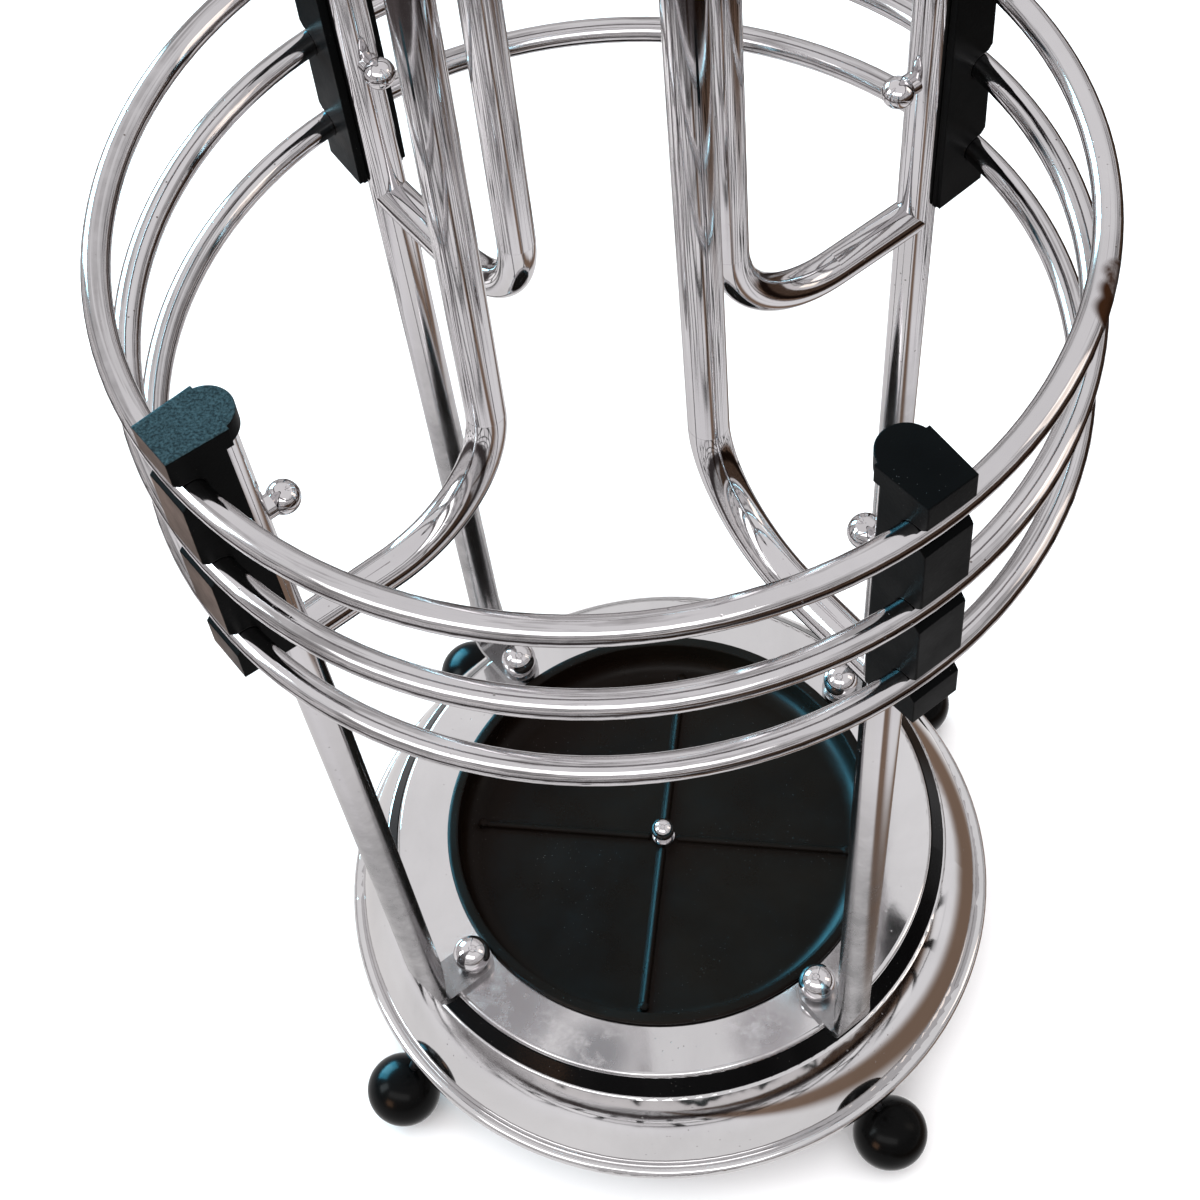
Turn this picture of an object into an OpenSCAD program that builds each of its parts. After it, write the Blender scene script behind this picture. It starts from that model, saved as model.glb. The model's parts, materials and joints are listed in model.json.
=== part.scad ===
// Chromed umbrella stand: a domed base with a drip tray, four splayed legs,
// three hoops held in plastic blocks, and two bent-tube loops that divide the
// space inside the hoops. Z is up, the floor is z = 0 and the front is -Y.

/* [Hoops] */
// Radius of each hoop's centreline
hoop_r = 200; // [190:1:205]
// Diameter of the hoop tube
hoop_d = 12; // [10:1:12]
// Height of the top hoop above the floor
top_hoop_z = 650; // [640:1:660]
// Height from one hoop to the next
hoop_pitch = 52; // [50:1:56]

/* [Legs] */
// Diameter of the leg tubes
tube_d = 18; // [16:1:18]
// Wall of the leg and loop tubes
tube_wall = 1.5; // [1:0.1:2]
// Radius of the leg axis at the height of the top hoop
leg_top_r = 181; // [180:0.5:182]
// Outward splay of each leg, in degrees
leg_splay = 1.66; // [1.4:0.02:1.8]

/* [Divider loops] */
// Diameter of the loop tubes
loop_d = 17.6; // [15.6:0.2:17.6]
// Distance of each loop upright from the stand's axis
upright_r = 66; // [60:1:70]
// Centreline radius of the bend at the foot of an upright
bend_r = 60; // [50:1:65]
// Height of the arms that join the legs
arm_z = 509.5; // [505:0.5:511]
// Overall height of the stand
stand_h = 880; // [860:1:900]

/* [Base] */
// Height of the base's flat ring
base_z = 109.5; // [105:0.5:112]
// Outer radius of the flat ring
base_top_r = 156; // [155:0.5:157]
// Height of the skirt's shelf, where the black collar stands
shelf_z = 97.5; // [96:0.5:98]
// Outer radius of the skirt's shelf before its edge turns down
shelf_r = 162.5; // [161:0.5:163]
// Radius at which the domed skirt meets the rolled rim
skirt_r = 185.3; // [184:0.1:186]
// Thickness of the base sheet
sheet = 1.6; // [1.4:0.1:1.8]

/* [Tray] */
// Outer radius of the tray's lip
tray_r = 126; // [125:0.5:126]
// Height of the tray's inner floor
tray_floor_z = 90; // [90:0.5:93]

/* [Feet] */
// Diameter of the ball feet
foot_d = 43; // [40:1:44]
// Distance of the feet from the stand's axis
foot_r = 202; // [201:1:204]

/* [Hidden] */
$fn = 96;
fit = 0.3;                                   // clearance round a moving piece
slip = 0.2;                                  // clearance between fixed pieces
tube_r = tube_d/2;
bore_r = tube_r - tube_wall;
loop_r = loop_d/2;
mid_hoop_z = top_hoop_z - hoop_pitch;
low_hoop_z = top_hoop_z - 2*hoop_pitch;
hoop_wall = 1.5;
corner_az = [225, 315, 135, 45];             // front left, front right, rear left, rear right

// Hoop holders
holder_out_r = hoop_r + hoop_d/2 + 0.2;      // outer face, flush with the hoops
holder_top = top_hoop_z + 22;
holder_bottom = low_hoop_z - 25;
holder_cap = 10;                             // depth of the cap over the leg's end
holder_w_out = 23.5;
holder_w_in = 26.5;
nose_r = tube_r + 2.8;
leg_top = holder_top - 3;

// Feet of the legs: the flattened end lies on the flat ring
tab_t = 4.5;
tab_w = 22;
tab_bend = 4;                                // inner radius of the bend
leg_nut_r = 137.5;                           // distance of the lower nuts from the axis
crush_len = 44;                              // height over which the tube is flattened

// Threads and heads
holder_bolt_d = 6;
leg_bolt_d = 8;
stud_d = 6;
pin_d = 7;

// Skirt profile: a rounded edge, a shallow convex dome that steepens downwards, a rolled rim
bead_r = 4;
edge_r = 3;                                  // outer radius of the skirt's top edge
dome_a0 = 38;                                // direction of the dome's normal at its top
dome_a1 = 8;                                 // and at its foot
dome_top = [shelf_r, shelf_z - edge_r] + edge_r*[cos(dome_a0), sin(dome_a0)];
dome_r = (skirt_r - dome_top[0])/(cos(dome_a1) - cos(dome_a0));
dome_c = dome_top - dome_r*[cos(dome_a0), sin(dome_a0)];
dome_end = dome_c + dome_r*[cos(dome_a1), sin(dome_a1)];
rim_c = dome_end + [2, -2.6];                // centre of the rolled rim
shelf_in_r = 128;

// Top plate profile
shoulder_r = 3;
pan_r = 122.5;                               // radius of the recess for the tray
pan_floor = 86.7;                            // top of the recess floor
lip_z = base_z - 5;                          // lower edge of the plate's turned-down lip

// Tray profile
tray_wall = 2.5;
tray_in_r = pan_r - fit - tray_wall;
lip_h = 3;
cove_r = 12;
rib_h = 3.6;
rib_w = 4;
rib_from = 8;
rib_to = 108;
washer_h = 4;

// Radius of a leg's axis at height z
function leg_r(z) = leg_top_r - (top_hoop_z - z)*tan(leg_splay);

// Puts children, drawn on the +X side, at one corner
module at_corner(i) { rotate([0, 0, corner_az[i]]) children(); }

// The same piece at all four corners
module four_corners() { for (i = [0 : 3]) at_corner(i) children(); }

// Axis frame of a leg: its own Z runs up the splayed tube from the height of the flat ring
module along_leg() { translate([leg_r(base_z), 0, base_z]) rotate([0, leg_splay, 0]) children(); }

module leg_rod(r, from, to) { along_leg() translate([0, 0, from]) cylinder(r = r, h = to - from); }

// A ring segment between two angles, as a flat shape
module arc_strip(r_in, r_out, a0, a1) {
    reach = 2*r_out;
    intersection() {
        difference() { circle(r = r_out); circle(r = r_in); }
        polygon([[0, 0], reach*[cos(a0), sin(a0)], reach*[cos((a0 + a1)/2), sin((a0 + a1)/2)],
                 reach*[cos(a1), sin(a1)]]);
    }
}

// ---- base ----

module band(corner, size) { rotate_extrude() translate(corner) square(size); }

module curl(centre, r_in, r_out, a0, a1) {
    rotate_extrude() translate(centre) arc_strip(r_in, r_out, a0, a1);
}

// Recess, flat ring and turned-down lip, pressed from one sheet
module top_plate() {
    flat_from = pan_r + shoulder_r;
    flat_to = base_top_r - shoulder_r;
    band([0, pan_floor - sheet], [pan_r + sheet, sheet]);
    band([pan_r, pan_floor - sheet], [sheet, base_z - shoulder_r - pan_floor + sheet]);
    curl([flat_from, base_z - shoulder_r], shoulder_r - sheet, shoulder_r, 90, 180);
    band([flat_from, base_z - sheet], [flat_to - flat_from, sheet]);
    curl([flat_to, base_z - shoulder_r], shoulder_r - sheet, shoulder_r, 0, 90);
    band([base_top_r - sheet, lip_z], [sheet, base_z - shoulder_r - lip_z]);
}

module leg_bolt_holes(z, h) {
    four_corners() translate([leg_nut_r, 0, z]) cylinder(r = leg_bolt_d/2 + slip, h = h);
}

module base_top() {
    color("silver") difference() {
        top_plate();
        translate([0, 0, pan_floor - 2*sheet]) cylinder(r = stud_d/2 + slip, h = 3*sheet);
        leg_bolt_holes(base_z - 2*sheet, 3*sheet);
    }
}

// Black moulding between the top plate and the skirt, with a boss round each leg bolt
module base_collar() {
    under = base_z - sheet;
    foot_r = shelf_r + 0.7;
    top_r = base_top_r + 0.6;
    seat = base_top_r - sheet - slip;
    color("#0e1011") difference() {
        union() {
            rotate_extrude() polygon([[foot_r - 4, shelf_z], [foot_r, shelf_z], [foot_r, shelf_z + 0.6],
                                      [top_r, lip_z + 2.4], [base_top_r + slip, lip_z + 2.4],
                                      [base_top_r + slip, lip_z - slip], [seat - 2, lip_z - slip - 2]]);
            rotate_extrude() polygon([[shelf_in_r + 2, under - 2], [shelf_in_r + 2, under],
                                      [seat - 1.4, under], [seat, under - 1.6], [seat, lip_z - slip], [base_top_r, lip_z - slip],
                                      [base_top_r, lip_z - 2.5], [seat - 2, lip_z - 2.5], [seat - 2, under - 2]]);
            four_corners() translate([leg_nut_r, 0, shelf_z]) cylinder(r = 8, h = under - shelf_z);
        }
        leg_bolt_holes(shelf_z - 1, under - shelf_z + 2);
    }
}

module base_skirt() {
    color("silver") difference() {
        union() {
            band([shelf_in_r, shelf_z - sheet], [shelf_r - shelf_in_r, sheet]);
            curl([shelf_r, shelf_z - edge_r], edge_r - sheet, edge_r, dome_a0, 90);
            curl(dome_c, dome_r - sheet, dome_r, dome_a1 - 1, dome_a0);
            rotate_extrude() translate(rim_c) circle(r = bead_r);
        }
        leg_bolt_holes(shelf_z - 2*sheet, 3*sheet);
    }
}

// ---- tray ----

// A shallow dish whose lip lies just above the flat ring
module tray_dish() {
    flat_r = tray_in_r - cove_r;
    under = base_z + fit;
    band([0, tray_floor_z - tray_wall], [flat_r, tray_wall]);
    curl([flat_r, tray_floor_z + cove_r], cove_r, cove_r + tray_wall, 270, 360);
    band([tray_in_r, tray_floor_z + cove_r], [tray_wall, under + lip_h - tray_floor_z - cove_r]);
    band([tray_in_r, under], [tray_r - lip_h/2 - tray_in_r, lip_h]);
    rotate_extrude() translate([tray_r - lip_h/2, under + lip_h/2]) circle(r = lip_h/2);
}

module drip_tray() {
    color("#16181a") difference() {
        union() {
            tray_dish();
            for (a = [0 : 90 : 270]) rotate([0, 0, a]) {
                translate([rib_from, -rib_w/2, tray_floor_z - 1])
                    cube([rib_to - rib_from, rib_w, rib_h + 1 - rib_w/2]);
                translate([rib_from, 0, tray_floor_z + rib_h - rib_w/2]) rotate([0, 90, 0])
                    cylinder(r = rib_w/2, h = rib_to - rib_from);
                translate([rib_to, 0, tray_floor_z - 1]) cylinder(r = rib_w/2 + 0.6, h = rib_h + 1.3);
            }
        }
        cylinder(r = stud_d/2 + fit, h = 200);
    }
}

// ---- centre fixing ----

module centre_stud() {
    color("gray") translate([0, 0, pan_floor - 11]) cylinder(r = stud_d/2, h = 29);
}

module centre_stud_nut() {
    color("gray") translate([0, 0, pan_floor - sheet - 5]) difference() {
        cylinder(r = 5.8, h = 5, $fn = 6);
        translate([0, 0, -1]) cylinder(r = stud_d/2, h = 7);
    }
}

module centre_washer() {
    color("silver") translate([0, 0, tray_floor_z]) difference() {
        cylinder(r = 6.5, h = washer_h);
        translate([0, 0, -1]) cylinder(r = stud_d/2 + fit, h = washer_h + 2);
    }
}

// A ball on a short neck, drilled from below; z = 0 is the seat
module ball_nut(ball_r, ball_z, neck_r, hole_r, hole_h) {
    difference() {
        union() {
            cylinder(r = neck_r, h = ball_z);
            intersection() {
                translate([0, 0, ball_z]) sphere(r = ball_r);
                cylinder(r = 2*ball_r, h = 3*ball_r);
            }
        }
        translate([0, 0, -1]) cylinder(r = hole_r, h = hole_h + 1);
    }
}

module centre_ball_nut() {
    color("silver") translate([0, 0, tray_floor_z + washer_h]) ball_nut(6.7, 7.8, 4.6, stud_d/2 + fit, 11);
}

// ---- legs ----

// Flattened tube end: a squeezed length, a bend and a tab with a round end under the nut
module leg_foot() {
    bend_z = tab_t + tab_bend;
    strip_x = leg_r(base_z + bend_z) - tab_t/2;
    bend_c = [strip_x - tab_bend, base_z + bend_z];
    along_leg() intersection() {
        rotate([90, 0, 0]) translate([0, 0, -tab_w]) linear_extrude(height = 2*tab_w)
            polygon([[-tab_t/2, bend_z - 0.6], [tab_t/2, bend_z - 0.6],
                     [tube_r + 0.3, crush_len + 1], [-tube_r - 0.3, crush_len + 1]]);
        cylinder(r1 = tab_w/2, r2 = tube_r - 0.03, h = crush_len);
    }
    translate([bend_c[0], 0, bend_c[1]]) rotate([90, 0, 0]) translate([0, 0, -tab_w/2])
        linear_extrude(height = tab_w) arc_strip(tab_bend, tab_bend + tab_t, 270, 360);
    translate([leg_nut_r, -tab_w/2, base_z]) cube([bend_c[0] - leg_nut_r, tab_w, tab_t]);
    translate([leg_nut_r, 0, base_z]) cylinder(r = tab_w/2, h = tab_t);
}

module leg(i) {
    color("silver") at_corner(i) difference() {
        union() {
            leg_rod(tube_r, crush_len, leg_top - base_z);
            leg_foot();
        }
        leg_rod(bore_r, crush_len + 2, leg_top - base_z + 5);
        translate([leg_nut_r, 0, base_z - 1]) cylinder(r = leg_bolt_d/2 + slip, h = tab_t + 2);
        translate([150, 0, mid_hoop_z]) rotate([0, 90, 0]) cylinder(r = holder_bolt_d/2 + slip, h = 60);
    }
}

// ---- divider loops ----

module tube_profile(r) {
    difference() {
        circle(r = r);
        circle(r = r - tube_wall);
    }
}

// Quarter bend in the XZ plane about its centre, starting at angle a0
module quarter_bend(path_r, a0, r) {
    rotate([90, 0, 0]) rotate([0, 0, a0]) rotate_extrude(angle = 90) translate([path_r, 0]) tube_profile(r);
}

// One arm, cut to sit on the leg, and its bend, drawn on the +X side
module loop_arm() {
    bend_x = upright_r + bend_r;
    difference() {
        translate([bend_x, 0, arm_z]) rotate([0, 90, 0])
            linear_extrude(height = leg_r(arm_z) - bend_x) tube_profile(loop_r);
        leg_rod(tube_r, 0, leg_top - base_z);
    }
    translate([bend_x, 0, arm_z + bend_r]) quarter_bend(bend_r, 180, loop_r);
}

// A whole loop: two arms, two uprights a hair thinner, and the half-round top between them
module divider_loop(left, right) {
    half = upright_r*cos(45);
    from = arm_z + bend_r;
    to = stand_h - loop_r - half;
    r = loop_r - 0.05;
    color("silver") {
        at_corner(left) loop_arm();
        at_corner(right) loop_arm();
        translate([0, upright_r*sin(corner_az[left]), 0]) for (side = [0, 180]) rotate([0, 0, side]) {
            translate([half, 0, from]) linear_extrude(height = to - from) tube_profile(r);
            translate([0, 0, to]) quarter_bend(half, 0, r);
        }
    }
}

// ---- hoops and their holders ----

module hoop(z) {
    color("silver") translate([0, 0, z]) rotate_extrude() translate([hoop_r, 0]) difference() {
        circle(r = hoop_d/2);
        circle(r = hoop_d/2 - hoop_wall);
    }
}

module hoop_groove(z) {
    g = hoop_d/2 + slip;
    mouth = 2.2;
    face = holder_out_r - hoop_r;
    translate([0, 0, z]) rotate_extrude() translate([hoop_r, 0]) {
        circle(r = g);
        polygon([[0, -g], [face - mouth, -g], [face + 1, -g - mouth - 1],
                 [face + 1, g + mouth + 1], [face - mouth, g], [0, g]]);
    }
}

// Outline of a holder from above: a tapered block with a round nose over the leg
module holder_outline() {
    nose_x = leg_r(holder_top);
    shoulder_x = nose_x - 2.5;
    polygon([[shoulder_x, -holder_w_in/2], [holder_out_r, -holder_w_out/2],
             [holder_out_r, holder_w_out/2], [shoulder_x, holder_w_in/2]]);
    translate([nose_x, 0]) circle(r = nose_r);
}

module holder(i) {
    tall = holder_top - holder_bottom;
    open_from = leg_r(holder_bottom) + 1;
    color("#1d2224") at_corner(i) difference() {
        translate([0, 0, holder_bottom]) linear_extrude(height = tall) holder_outline();
        leg_rod(tube_r + slip, 0, leg_top - base_z + slip);
        translate([open_from, 0, holder_bottom]) rotate([0, leg_splay, 0])
            translate([-60, -30, -5]) cube([60, 60, tall - holder_cap + 5]);
        for (z = [top_hoop_z, mid_hoop_z, low_hoop_z]) hoop_groove(z);
        translate([leg_r(mid_hoop_z), 0, mid_hoop_z]) rotate([0, 90, 0])
            cylinder(r = holder_bolt_d/2 + slip, h = 20);
        translate([190, 0, mid_hoop_z]) rotate([0, 90, 0]) cylinder(r = 5.7, h = 8);
    }
}

module holder_bolts() {
    color("gray") four_corners() translate([0, 0, mid_hoop_z]) rotate([0, 90, 0]) {
        translate([0, 0, 162]) cylinder(r = holder_bolt_d/2, h = 28.5);
        translate([0, 0, 190.2]) cylinder(r = 5.5, h = 3);
    }
}

module holder_ball_nuts() {
    ball_x = 162.3;
    color("silver") four_corners() difference() {
        translate([0, 0, mid_hoop_z]) rotate([0, 90, 0]) {
            translate([0, 0, ball_x]) sphere(r = 7.3);
            translate([0, 0, ball_x]) cylinder(r = 5, h = 14);
        }
        leg_rod(tube_r, 0, leg_top - base_z);
        translate([161, 0, mid_hoop_z]) rotate([0, 90, 0]) cylinder(r = holder_bolt_d/2, h = 20);
    }
}

// ---- fixings of the leg feet ----

module leg_bolts() {
    color("gray") four_corners() translate([leg_nut_r, 0, shelf_z - sheet]) {
        translate([0, 0, -5.3]) cylinder(r = 7.5, h = 5.3, $fn = 6);
        cylinder(r = leg_bolt_d/2, h = base_z - shelf_z + sheet + tab_t + 12);
    }
}

module leg_ball_nuts() {
    color("silver") four_corners() translate([leg_nut_r, 0, base_z + tab_t])
        ball_nut(10.4, 8.5, 7.5, leg_bolt_d/2, 12.5);
}

// ---- feet ----

foot_flat_r = 5;
foot_z = sqrt(pow(foot_d/2, 2) - pow(foot_flat_r, 2));
pin_lean = atan2(foot_r - rim_c[0], rim_c[1] - foot_z);  // the pin points at the rim's centre
pin_len = norm([foot_r - rim_c[0], rim_c[1] - foot_z]);

module foot_pin_axis() { translate([foot_r, 0, foot_z]) rotate([0, -pin_lean, 0]) children(); }

module foot_pins() {
    color("gray") difference() {
        four_corners() foot_pin_axis() cylinder(r = pin_d/2, h = pin_len);
        rotate_extrude() translate(rim_c) circle(r = bead_r);
    }
}

module foot(i) {
    color("#15181a") at_corner(i) difference() {
        translate([foot_r, 0, foot_z]) sphere(r = foot_d/2);
        translate([foot_r - foot_d, -foot_d, -foot_d]) cube([2*foot_d, 2*foot_d, foot_d]);
        foot_pin_axis() cylinder(r = pin_d/2, h = 45);
    }
}

base_skirt();
base_collar();
base_top();
drip_tray();
centre_stud();
centre_stud_nut();
centre_washer();
centre_ball_nut();
leg(0);  // leg_front_left
leg(1);  // leg_front_right
leg(2);  // leg_rear_left
leg(3);  // leg_rear_right
divider_loop(0, 1);  // divider_loop_front
divider_loop(2, 3);  // divider_loop_rear
hoop(top_hoop_z);  // hoop_upper
hoop(mid_hoop_z);  // hoop_middle
hoop(low_hoop_z);  // hoop_lower
holder(0);  // holder_front_left
holder(1);  // holder_front_right
holder(2);  // holder_rear_left
holder(3);  // holder_rear_right
holder_bolts();
holder_ball_nuts();
leg_bolts();
leg_ball_nuts();
foot_pins();
foot(0);  // foot_front_left
foot(1);  // foot_front_right
foot(2);  // foot_rear_left
foot(3);  // foot_rear_right
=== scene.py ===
"""Looks of the chromed umbrella stand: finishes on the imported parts, soft light, pale floor, camera."""
import json
import math

import bpy
from mathutils import Matrix, Vector


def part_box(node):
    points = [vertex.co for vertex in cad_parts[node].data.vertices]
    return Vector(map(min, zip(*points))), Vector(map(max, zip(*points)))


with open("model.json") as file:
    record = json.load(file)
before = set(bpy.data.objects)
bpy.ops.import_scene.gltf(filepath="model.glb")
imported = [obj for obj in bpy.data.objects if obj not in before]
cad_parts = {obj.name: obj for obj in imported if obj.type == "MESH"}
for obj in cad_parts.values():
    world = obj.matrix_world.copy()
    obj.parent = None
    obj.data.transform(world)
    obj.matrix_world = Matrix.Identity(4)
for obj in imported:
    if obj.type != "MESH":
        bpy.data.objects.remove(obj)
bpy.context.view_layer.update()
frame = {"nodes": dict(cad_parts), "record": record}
nodes = frame["nodes"]


# ---------------------------------------------------------------- node helpers

class Tree:
    """A material's node tree with short calls for the nodes used here.

    A source is a (node, output socket) pair, as most calls here return it.
    """

    def __init__(self, name):
        self.mat = bpy.data.materials.new(name)
        self.mat.use_nodes = True
        self.nt = self.mat.node_tree
        self.nt.nodes.clear()
        self.out = self.add("ShaderNodeOutputMaterial")
        self.bsdf = self.add("ShaderNodeBsdfPrincipled")
        self.link(self.bsdf, "BSDF", self.out, "Surface")
        self.place = self.add("ShaderNodeTexCoord")

    def add(self, kind, **props):
        n = self.nt.nodes.new(kind)
        for k, v in props.items():
            setattr(n, k, v)
        return n

    def link(self, a, a_sock, b, b_sock):
        self.nt.links.new(a.outputs[a_sock], b.inputs[b_sock])

    def to(self, src, socket):
        self.link(*src, self.bsdf, socket)

    def set(self, **values):
        for k, v in values.items():
            self.bsdf.inputs[k.replace("_", " ")].default_value = v

    def axes(self):
        """The place in metres, split into X, Y and Z."""
        split = self.add("ShaderNodeSeparateXYZ")
        self.link(self.place, "Object", split, "Vector")
        return split

    def noise(self, scale, detail=4.0, rough=0.55, distort=0.0, at=None):
        n = self.add("ShaderNodeTexNoise")
        n.inputs["Scale"].default_value = scale
        n.inputs["Detail"].default_value = detail
        n.inputs["Roughness"].default_value = rough
        n.inputs["Distortion"].default_value = distort
        self.link(*(at or (self.place, "Object")), n, "Vector")
        return n, "Fac"

    def cells(self, scale):
        n = self.add("ShaderNodeTexVoronoi")
        n.inputs["Scale"].default_value = scale
        self.link(self.place, "Object", n, "Vector")
        return n, "Distance"

    def ramp(self, src, stops):
        """stops: (position, value or colour) pairs."""
        r = self.add("ShaderNodeValToRGB")
        e = r.color_ramp.elements
        while len(e) < len(stops):
            e.new(0.5)
        for el, (p, c) in zip(e, stops):
            el.position = p
            el.color = (c, c, c, 1) if isinstance(c, (int, float)) else (*c, 1)
        self.link(*src, r, "Fac")
        return r, "Color"

    def span(self, src, lo, hi, out_lo, out_hi):
        """A smooth step from out_lo at lo to out_hi at hi."""
        m = self.add("ShaderNodeMapRange", interpolation_type="SMOOTHSTEP")
        for key, v in (("From Min", lo), ("From Max", hi), ("To Min", out_lo), ("To Max", out_hi)):
            m.inputs[key].default_value = v
        self.link(*src, m, "Value")
        return m, "Result"

    def math(self, op, a, b):
        """a and b: a source or a number."""
        m = self.add("ShaderNodeMath", operation=op)
        for i, v in enumerate((a, b)):
            if isinstance(v, tuple):
                self.link(*v, m, i)
            else:
                m.inputs[i].default_value = v
        return m, "Value"

    def mix(self, fac, a, b, blend="MIX"):
        """fac, a and b: a source, a number or a colour."""
        m = self.add("ShaderNodeMix", data_type="RGBA", blend_type=blend)
        for idx, v in ((0, fac), (6, a), (7, b)):
            if isinstance(v, tuple) and not isinstance(v[0], (int, float)):
                self.link(*v, m, idx)
            elif isinstance(v, tuple):
                m.inputs[idx].default_value = (*v, 1)
            else:
                m.inputs[idx].default_value = v
        return m, 2

    def near(self, point, inner, outer):
        """1 within inner metres of a point, 0 beyond outer."""
        d = self.add("ShaderNodeVectorMath", operation="DISTANCE")
        self.link(self.place, "Object", d, 0)
        d.inputs[1].default_value = point
        return self.span((d, "Value"), inner, outer, 1, 0)

    def bump(self, *layers, under=None):
        """layers: (source, strength, distance in metres), laid one on another; the first lies on under."""
        prev = under
        for src, strength, dist in layers:
            b = self.add("ShaderNodeBump")
            b.inputs["Strength"].default_value = strength
            b.inputs["Distance"].default_value = dist
            self.link(*src, b, "Height")
            if prev is not None:
                self.link(prev, "Normal", b, "Normal")
            prev = b
        self.link(prev, "Normal", self.bsdf, "Normal")


# ---------------------------------------------------------------- finishes

PIT = (0.10, 0.075, 0.06)
# Tone of the painted reflection lines along the hoops
PAINTED_LINE_TONE = (0.11, 0.10, 0.098)
FILM, FILM_ROUGH = (0.18, 0.178, 0.18), (0.30, 0.30, 0.30)
SPECK = (0.32, 0.31, 0.30)


def dull_film(t, below):
    """A patchy film that sets in at a height and is full at 0.6 of it."""
    low = t.span((t.axes(), "Z"), below, below*0.6, 0, 1)
    return t.math("MULTIPLY", low, t.ramp(t.noise(40, 5, 0.7), [(0.3, 0.5), (0.65, 1.0)]))


def painted_reflection_lines(t):
    """Painted reflection: broken dark lines along a hoop, from a noise laid out over the tube's cross-section."""
    flat = t.add("ShaderNodeVectorMath", operation="MULTIPLY")
    t.link(t.place, "Object", flat, 0)
    flat.inputs[1].default_value = (1, 1, 0)
    radius = t.add("ShaderNodeVectorMath", operation="LENGTH")
    t.link(flat, "Vector", radius, 0)
    axes = t.axes()
    section = t.add("ShaderNodeCombineXYZ")
    t.link(radius, "Value", section, "X")
    t.link(axes, "Z", section, "Y")
    t.link(*t.math("MULTIPLY", (axes, "X"), 0.05), section, "Z")
    lines = t.ramp(t.noise(330, 3, 0.6, at=(section, "Vector")), [(0.50, 0.0), (0.60, 1.0)])
    broken = t.ramp(t.noise(24, 4, 0.6), [(0.36, 0.25), (0.58, 1.0)])
    return t.math("MULTIPLY", lines, broken)


def chrome(name, light, dark, rough, wave=0.0002, pit_at=0.05, patches=(), grime=0.5, dull_below=None,
           painted_lines=0.0):
    """Chrome plate: a faint ripple, cloudy wiping marks, small pits, and a painted reflection that darkens it
    towards grazing angles.

    patches: (point, inner and outer radius, colour, roughness) of worn or smudged places.
    """
    t = Tree(name)
    pits = t.ramp(t.cells(190), [(0.0, 1.0), (pit_at, 1.0), (pit_at + 0.035, 0.0)])
    pit_zone = t.ramp(t.noise(14, 2), [(0.5, 0.0), (0.66, 1.0)])
    pit = t.math("MULTIPLY", pits, pit_zone)
    cloud = t.ramp(t.noise(9, 5, 0.6, 0.6), [(0.35, 0.0), (0.7, 1.0)])
    colour = t.mix(cloud, light, tuple(0.86*c for c in light))
    # Painted reflection: towards grazing angles the colour mixes into the dark tone, standing in for the dark
    # surroundings mirrored along a tube's edges.
    edge = t.add("ShaderNodeLayerWeight")
    edge.inputs["Blend"].default_value = 0.32
    colour = t.mix(t.ramp((edge, "Facing"), [(0.42, 0.0), (0.78, 0.55), (1.0, 0.9)]), colour, dark)
    colour = t.mix(t.math("MULTIPLY", pit, grime), colour, PIT)
    roughness = t.ramp(t.noise(26, 6, 0.65, 0.3), [(0.3, rough*0.7), (0.75, rough*1.9)])
    if dull_below is not None:
        film = dull_film(t, dull_below)
        roughness = t.mix(film, roughness, FILM_ROUGH)
        colour = t.mix(t.math("MULTIPLY", film, 0.8), colour, FILM)
    # Painted reflection: dark broken lines along the hoop tube
    if painted_lines:
        colour = t.mix(t.math("MULTIPLY", painted_reflection_lines(t), painted_lines), colour, PAINTED_LINE_TONE)
    for point, inner, outer, tone, tone_rough in patches:
        ragged = t.ramp(t.noise(55, 5, 0.65), [(0.30, 0.2), (0.5, 1.0)])
        zone = t.math("MULTIPLY", t.near(point, inner, outer), ragged)
        colour = t.mix(zone, colour, tone)
        roughness = t.mix(zone, roughness, (tone_rough,)*3)
    t.to(colour, "Base Color")
    t.to(roughness, "Roughness")
    t.set(Metallic=1.0)
    t.bump((t.noise(22, 2, 0.5), 0.35, wave), (t.noise(160, 3, 0.6), 0.12, 0.00004), (pit, 0.5, -0.0002))
    return t.mat


def painted_sheen_zone(t, point, inner, outer):
    """Painted sheen: a grainy lighter tone on the upward faces round a point."""
    facing = t.add("ShaderNodeNewGeometry")
    split = t.add("ShaderNodeSeparateXYZ")
    t.link(facing, "Normal", split, "Vector")
    top = t.ramp((split, "Z"), [(0.7, 0.0), (0.95, 1.0)])
    grainy = t.ramp(t.noise(900, 4, 0.75), [(0.40, 0.2), (0.66, 1.0)])
    return t.math("MULTIPLY", t.near(point, inner, outer), t.math("MULTIPLY", top, grainy))


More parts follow.
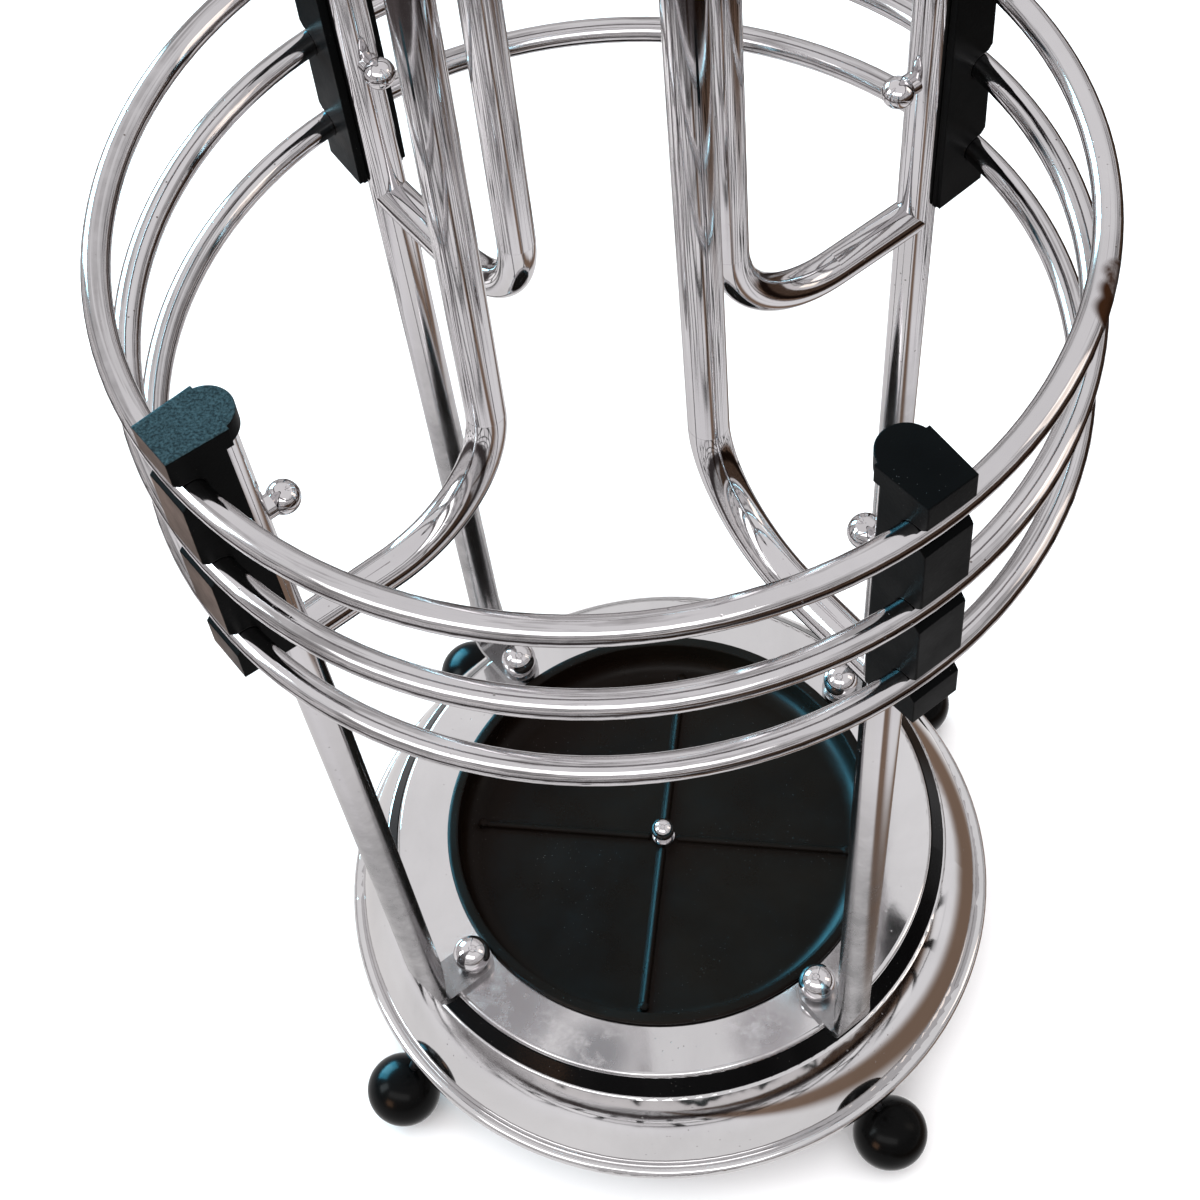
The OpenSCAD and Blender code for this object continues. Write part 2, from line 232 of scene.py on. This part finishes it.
def moulding(name, low, high, rough, grain=1400, grain_depth=0.00005, dust=0.0, level=0.3,
             soft_edge=None, top_sheen=None):
    """Moulded black plastic: fine grain, faint flow marks, a little dust.

    soft_edge: metres over which edges are shaded round. top_sheen: a painted sheen on the upward faces round a
    point, given as (point, inner and outer radius, colour).
    """
    t = Tree(name)
    colour = t.mix(t.ramp(t.noise(12, 5, 0.6, 0.4), [(0.35, 0.0), (0.7, 1.0)]), low, high)
    specks = t.ramp(t.cells(420), [(0.0, 1.0), (0.045, 1.0), (0.075, 0.0)])
    speck_zone = t.ramp(t.noise(30, 3), [(0.48, 0.0), (0.7, 1.0)])
    colour = t.mix(t.math("MULTIPLY", t.math("MULTIPLY", specks, speck_zone), dust), colour, SPECK)
    # Painted sheen: a grainy teal lighter tone on the upward faces round one point
    if top_sheen is not None:
        *where, tone = top_sheen
        colour = t.mix(painted_sheen_zone(t, *where), colour, tone)
    t.to(colour, "Base Color")
    t.to(t.ramp(t.noise(34, 5, 0.6), [(0.3, rough*0.8), (0.75, rough*1.35)]), "Roughness")
    bevel = None
    if soft_edge:
        bevel = t.add("ShaderNodeBevel", samples=4)
        bevel.inputs["Radius"].default_value = soft_edge
    t.bump((t.noise(18, 2), 0.25, 0.0003), (t.noise(grain, 2, 0.6), 0.5, grain_depth), under=bevel)
    t.set(Specular_IOR_Level=level)
    return t.mat


def zinc(name, low=(0.40, 0.41, 0.43), high=(0.52, 0.53, 0.55)):
    """Zinc plate with its fine spangle."""
    t = Tree(name)
    t.to(t.mix(t.ramp(t.cells(600), [(0.1, 0.0), (0.6, 1.0)]), low, high), "Base Color")
    t.to(t.ramp(t.noise(300, 4), [(0.3, 0.22), (0.7, 0.4)]), "Roughness")
    t.set(Metallic=1.0)
    t.bump((t.noise(500, 3), 0.3, 0.00005))
    return t.mat


def on_circle(r, azimuth, z):
    a = math.radians(azimuth)
    return (r*math.cos(a), r*math.sin(a), z)


LIGHT = (0.64, 0.625, 0.635)
# Tone of the painted reflection that the tube and hoop chrome take on at grazing angles
PAINTED_EDGE_REFLECTION = (0.13, 0.105, 0.095)
HOOP_TUBE_R = 0.006
RUST, RUST_ROUGH = (0.050, 0.020, 0.008), 0.6
FILM_FROM = 0.46    # height of the leg where the dull film begins
RING_MID = 0.142    # radius at the middle of the flat ring round the tray

ring_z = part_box("base_top")[1][2]
hoop_z = sum(p[2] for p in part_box("hoop_upper"))/2
hoop_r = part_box("hoop_upper")[1][0] - HOOP_TUBE_R
low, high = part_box("holder_front_left")
holder_top = ((low[0] + high[0])/2, (low[1] + high[1])/2, high[2])

worn = [(on_circle(hoop_r + HOOP_TUBE_R, azimuth, hoop_z + 0.001), 0.006, 0.0095, RUST, RUST_ROUGH)
        for azimuth in (-8.0, -10.5, -13.0)]
smudges = [(on_circle(RING_MID, 238, ring_z), 0.01, 0.05, (0.36, 0.34, 0.35), 0.3),
           (on_circle(RING_MID + 0.004, 262, ring_z), 0.005, 0.03, (0.32, 0.31, 0.32), 0.3),
           (on_circle(RING_MID, 300, ring_z), 0.005, 0.03, (0.40, 0.38, 0.39), 0.28)]

# The second tone given to each chrome is its painted edge reflection at grazing angles.
SLOTS = {
    "tube_chrome": chrome("tube_chrome", LIGHT, PAINTED_EDGE_REFLECTION, 0.06, wave=0.00012, pit_at=0.065, grime=0.5,
                          dull_below=FILM_FROM),
    # The hoop chrome carries painted reflection lines along its tube.
    "hoop_chrome": chrome("hoop_chrome", LIGHT, PAINTED_EDGE_REFLECTION, 0.07, wave=0.00018, pit_at=0.07, grime=0.8,
                          painted_lines=0.55, patches=worn),
    "base_chrome": chrome("base_chrome", (0.68, 0.67, 0.675), (0.34, 0.30, 0.285), 0.055, wave=0.0003,
                          pit_at=0.06, grime=0.45, patches=smudges),
    "bright_fixings": chrome("bright_chrome", (0.66, 0.64, 0.65), (0.10, 0.08, 0.07), 0.04,
                             wave=0.0002, grime=0.5),
    "zinc_fixings": zinc("zinc_plate"),
    "tray_black": moulding("tray_plastic", (0.0024, 0.0012, 0.0007), (0.0046, 0.0024, 0.0014), 0.30,
                           dust=0.6, level=0.075, soft_edge=0.0025),
    "collar_black": moulding("collar_plastic", (0.0010, 0.0010, 0.0011), (0.0020, 0.0020, 0.0022), 0.12,
                             dust=0.9, level=0.07),
    # The holder plastic carries a painted teal sheen on the upward faces round the front-left holder's top.
    "holder_black": moulding("holder_plastic", (0.0010, 0.0012, 0.0013), (0.0024, 0.0027, 0.0028), 0.36,
                             grain=700, grain_depth=0.00012, dust=0.35, level=0.024, soft_edge=0.0012,
                             top_sheen=(holder_top, 0.022, 0.05, (0.030, 0.049, 0.054))),
    "foot_black": moulding("foot_plastic", (0.0006, 0.0006, 0.0006), (0.0012, 0.0012, 0.0012), 0.20,
                           grain=1600, grain_depth=0.00002, dust=0.1, level=0.07),
}
DARK_STEEL = zinc("dark_steel", (0.035, 0.035, 0.037), (0.07, 0.07, 0.075))

for sub in frame["record"]["subparts"]:
    mesh = nodes[sub["node"]].data
    mesh.materials.clear()
    mesh.materials.append(DARK_STEEL if sub["node"] == "foot_pins" else SLOTS[sub["material_slot"]])


# ---------------------------------------------------------------- floor and what the chrome mirrors

FLOOR_R, FLOOR_Z = 30.0, -0.0005
CARD_R, CARD_Z = 6.0, -0.001
NEAR_PALE, PALE = (0.93, 0.915, 0.92), (0.98, 0.965, 0.985)
FAR_DARK = (0.05, 0.042, 0.042)
WARM, DEEP_WARM = (0.25, 0.172, 0.125), (0.20, 0.13, 0.09)


def floor_finish():
    t = Tree("floor_finish")
    cloud = t.ramp(t.noise(2.5, 3), [(0.3, 0.0), (0.7, 1.0)])
    t.to(t.mix(cloud, (0.93, 0.925, 0.93), (0.90, 0.895, 0.90)), "Base Color")
    t.to(t.ramp(t.noise(30, 4), [(0.3, 0.6), (0.7, 0.75)]), "Roughness")
    t.set(Specular_IOR_Level=0.1)
    return t.mat


def tile_pattern(t):
    """Pale tiles with dark joints, a little out of true."""
    wobble = t.add("ShaderNodeTexNoise")
    wobble.inputs["Scale"].default_value = 3.0
    t.link(t.place, "Object", wobble, "Vector")
    bent = t.add("ShaderNodeVectorMath", operation="MULTIPLY_ADD")
    t.link(wobble, "Color", bent, 0)
    bent.inputs[1].default_value = (0.05, 0.05, 0.0)
    t.link(t.place, "Object", bent, 2)
    tiles = t.add("ShaderNodeTexBrick")
    tiles.inputs["Color1"].default_value = (1.10, 1.085, 1.10, 1)
    tiles.inputs["Color2"].default_value = (0.78, 0.76, 0.775, 1)
    tiles.inputs["Mortar"].default_value = (0.012, 0.011, 0.011, 1)
    tiles.inputs["Scale"].default_value = 2.6
    tiles.inputs["Mortar Size"].default_value = 0.034
    tiles.inputs["Mortar Smooth"].default_value = 0.3
    t.link(bent, "Vector", tiles, "Vector")
    return tiles, "Color"


def card_finish():
    """What the chrome sees below it: pale near the stand, then tiled, then dark, with warm parts on the right."""
    t = Tree("card_finish")
    t.nt.nodes.remove(t.bsdf)
    x = (t.axes(), "X")
    far = t.add("ShaderNodeVectorMath", operation="LENGTH")
    t.link(t.place, "Object", far, 0)
    reach = t.math("ADD", (far, "Value"), t.math("MULTIPLY", t.noise(4.0, 3, 0.5), 0.22))
    tone = t.mix(t.span(reach, 0.40, 0.55, 0, 1), NEAR_PALE, PALE)
    tone = t.mix(t.span(reach, 0.55, 0.66, 0, 1), tone, tile_pattern(t))
    dark = t.math("MULTIPLY", t.span(reach, 0.86, 1.0, 0, 1), t.span(reach, 1.25, 1.6, 1, 0.45))
    tone = t.mix(dark, tone, FAR_DARK)
    streak = t.math("MULTIPLY", t.span(x, 0.17, 0.22, 0, 1), t.span(x, 0.27, 0.36, 1, 0))
    tone = t.mix(streak, tone, WARM, "MULTIPLY")
    tone = t.mix(t.span(x, 0.54, 0.74, 0, 1), tone, DEEP_WARM, "MULTIPLY")
    glow = t.add("ShaderNodeEmission")
    t.link(*tone, glow, "Color")
    t.link(*t.span(x, -0.75, -0.42, 1.7, 1.0), glow, "Strength")
    t.link(glow, "Emission", t.out, "Surface")
    return t.mat


def disc(name, radius, z, finish, count=96):
    ring = [on_circle(radius, 360*i/count, z) for i in range(count)]
    mesh = bpy.data.meshes.new(name)
    mesh.from_pydata(ring, [], [tuple(range(count))])
    mesh.materials.append(finish)
    ob = bpy.data.objects.new(name, mesh)
    bpy.context.scene.collection.objects.link(ob)
    return ob


floor = disc("floor", FLOOR_R, FLOOR_Z, floor_finish())
floor.visible_glossy = False
card = disc("reflection_card", CARD_R, CARD_Z, card_finish())
for kind in ("camera", "diffuse", "transmission", "volume_scatter", "shadow"):
    setattr(card, "visible_" + kind, False)


# ---------------------------------------------------------------- light

def soft_light(name, place, size, power, colour=(1, 1, 1), target=(0, 0, 0.35), mirrored=False):
    """An area light in watts. Only a mirrored one shows in the chrome and the black parts."""
    data = bpy.data.lights.new(name, "AREA")
    data.shape = "RECTANGLE"
    data.size, data.size_y = size
    data.energy = power
    data.color = colour
    ob = bpy.data.objects.new(name, data)
    ob.location = place
    ob.rotation_euler = (Vector(target) - Vector(place)).to_track_quat("-Z", "Y").to_euler()
    ob.visible_glossy = mirrored
    bpy.context.scene.collection.objects.link(ob)
    return ob


def light_only(group_name, parts, lights):
    """Let some lights reach only these parts."""
    group = bpy.data.collections.new(group_name)
    for part in parts:
        group.objects.link(part)
    for light in lights:
        light.light_linking.receiver_collection = group


soft_light("top_soft", (0.0, 0.2, 3.0), (3.0, 3.0), 70)
soft_light("front_soft", (-0.3, -2.0, 2.0), (3.4, 0.9), 24, mirrored=True)
soft_light("window", (-2.0, 1.5, 1.0), (1.1, 1.2), 48, (0.42, 0.84, 1.0), mirrored=True)
soft_light("left_soft", (-2.1, -0.6, 1.3), (0.7, 1.2), 18, (0.82, 0.95, 1.0), mirrored=True)
soft_light("right_soft", (2.1, 0.3, 1.2), (0.6, 1.2), 3.0, (1.0, 0.86, 0.74), mirrored=True)

cool_sheen = soft_light("cool_sheen", (-1.9, 1.4, 1.1), (2.2, 1.6), 380, (0.10, 0.58, 0.85), mirrored=True)
warm_sheen = soft_light("warm_sheen", (-1.1, -1.7, 0.5), (0.6, 0.6), 9, (1.0, 0.55, 0.32), mirrored=True)
brown_glow = soft_light("brown_glow", (-0.50, 0.106, 0.062), (0.35, 0.35), 0.36, (1.0, 0.56, 0.36),
                        holder_top, mirrored=True)
tray_sheen = soft_light("tray_sheen", (-1.65, -0.35, 0.56), (1.8, 0.7), 120, (0.12, 0.60, 0.88),
                        (0.1, 0.0, 0.1), mirrored=True)
brown_glow.visible_camera = False
tray_sheen.visible_camera = False
black_parts = [nodes[sub["node"]] for sub in frame["record"]["subparts"]
               if sub["material_slot"].endswith("_black")]
light_only("dark_parts", black_parts, (cool_sheen, warm_sheen))
light_only("tray_only", [nodes["drip_tray"]], (tray_sheen,))
light_only("one_holder", [nodes["holder_front_left"]], (brown_glow,))

# The sky's tone by height above the horizon: a pale ceiling over a few dark bands
SKY = [(0.0, (0.80, 0.77, 0.77)), (0.05, (0.74, 0.71, 0.71)), (0.07, (0.02, 0.02, 0.02)),
       (0.10, (0.04, 0.05, 0.05)), (0.115, (0.85, 0.83, 0.83)), (0.17, (0.80, 0.78, 0.79)),
       (0.185, (0.03, 0.04, 0.04)), (0.22, (0.75, 0.73, 0.74)), (0.33, (0.62, 0.60, 0.61)),
       (0.36, (0.16, 0.15, 0.15)), (0.40, (0.80, 0.79, 0.80)), (0.60, (0.96, 0.95, 0.96)),
       (1.0, (0.95, 0.935, 0.95))]
SKY_WANDER = 0.22    # how far the bands wander up and down


def sky():
    world = bpy.data.worlds.new("studio")
    bpy.context.scene.world = world
    world.use_nodes = True
    wt = world.node_tree
    wt.nodes.clear()
    place = wt.nodes.new("ShaderNodeTexCoord")
    split = wt.nodes.new("ShaderNodeSeparateXYZ")
    wt.links.new(place.outputs["Generated"], split.inputs["Vector"])
    wander = wt.nodes.new("ShaderNodeTexNoise")
    wander.inputs["Scale"].default_value = 5.0
    wander.inputs["Detail"].default_value = 4.0
    wt.links.new(place.outputs["Generated"], wander.inputs["Vector"])
    spread = wt.nodes.new("ShaderNodeMapRange")
    spread.inputs["To Min"].default_value = -SKY_WANDER
    spread.inputs["To Max"].default_value = SKY_WANDER
    wt.links.new(wander.outputs["Fac"], spread.inputs["Value"])
    height = wt.nodes.new("ShaderNodeMath")
    height.operation = "ADD"
    wt.links.new(split.outputs["Z"], height.inputs[0])
    wt.links.new(spread.outputs["Result"], height.inputs[1])
    tone = wt.nodes.new("ShaderNodeValToRGB")
    e = tone.color_ramp.elements
    while len(e) < len(SKY):
        e.new(0.5)
    for el, (at, c) in zip(e, SKY):
        el.position = at
        el.color = (*c, 1)
    wt.links.new(height.outputs["Value"], tone.inputs["Fac"])
    back = wt.nodes.new("ShaderNodeBackground")
    wt.links.new(tone.outputs["Color"], back.inputs["Color"])
    out = wt.nodes.new("ShaderNodeOutputWorld")
    wt.links.new(back.outputs["Background"], out.inputs["Surface"])


sky()


# ---------------------------------------------------------------- camera

LENS_MM, SENSOR_MM = 72.87, 36
CAMERA_AT = (0.1297, -0.6380, 1.3769)
CAMERA_RIGHT = (0.99048, 0.11833, -0.07053)
CAMERA_UP = (-0.06274, 0.84329, 0.53381)
CAMERA_BACK = (0.12264, -0.52430, 0.84266)

cam_data = bpy.data.cameras.new("camera")
cam_data.sensor_width = SENSOR_MM
cam_data.lens = LENS_MM
cam_data.dof.use_dof = False
cam = bpy.data.objects.new("camera", cam_data)
bpy.context.scene.collection.objects.link(cam)
rows = zip(CAMERA_RIGHT, CAMERA_UP, CAMERA_BACK, CAMERA_AT)
cam.matrix_world = Matrix([*rows, (0, 0, 0, 1)])
bpy.context.scene.camera = cam
bpy.context.scene.view_settings.view_transform = "Standard"
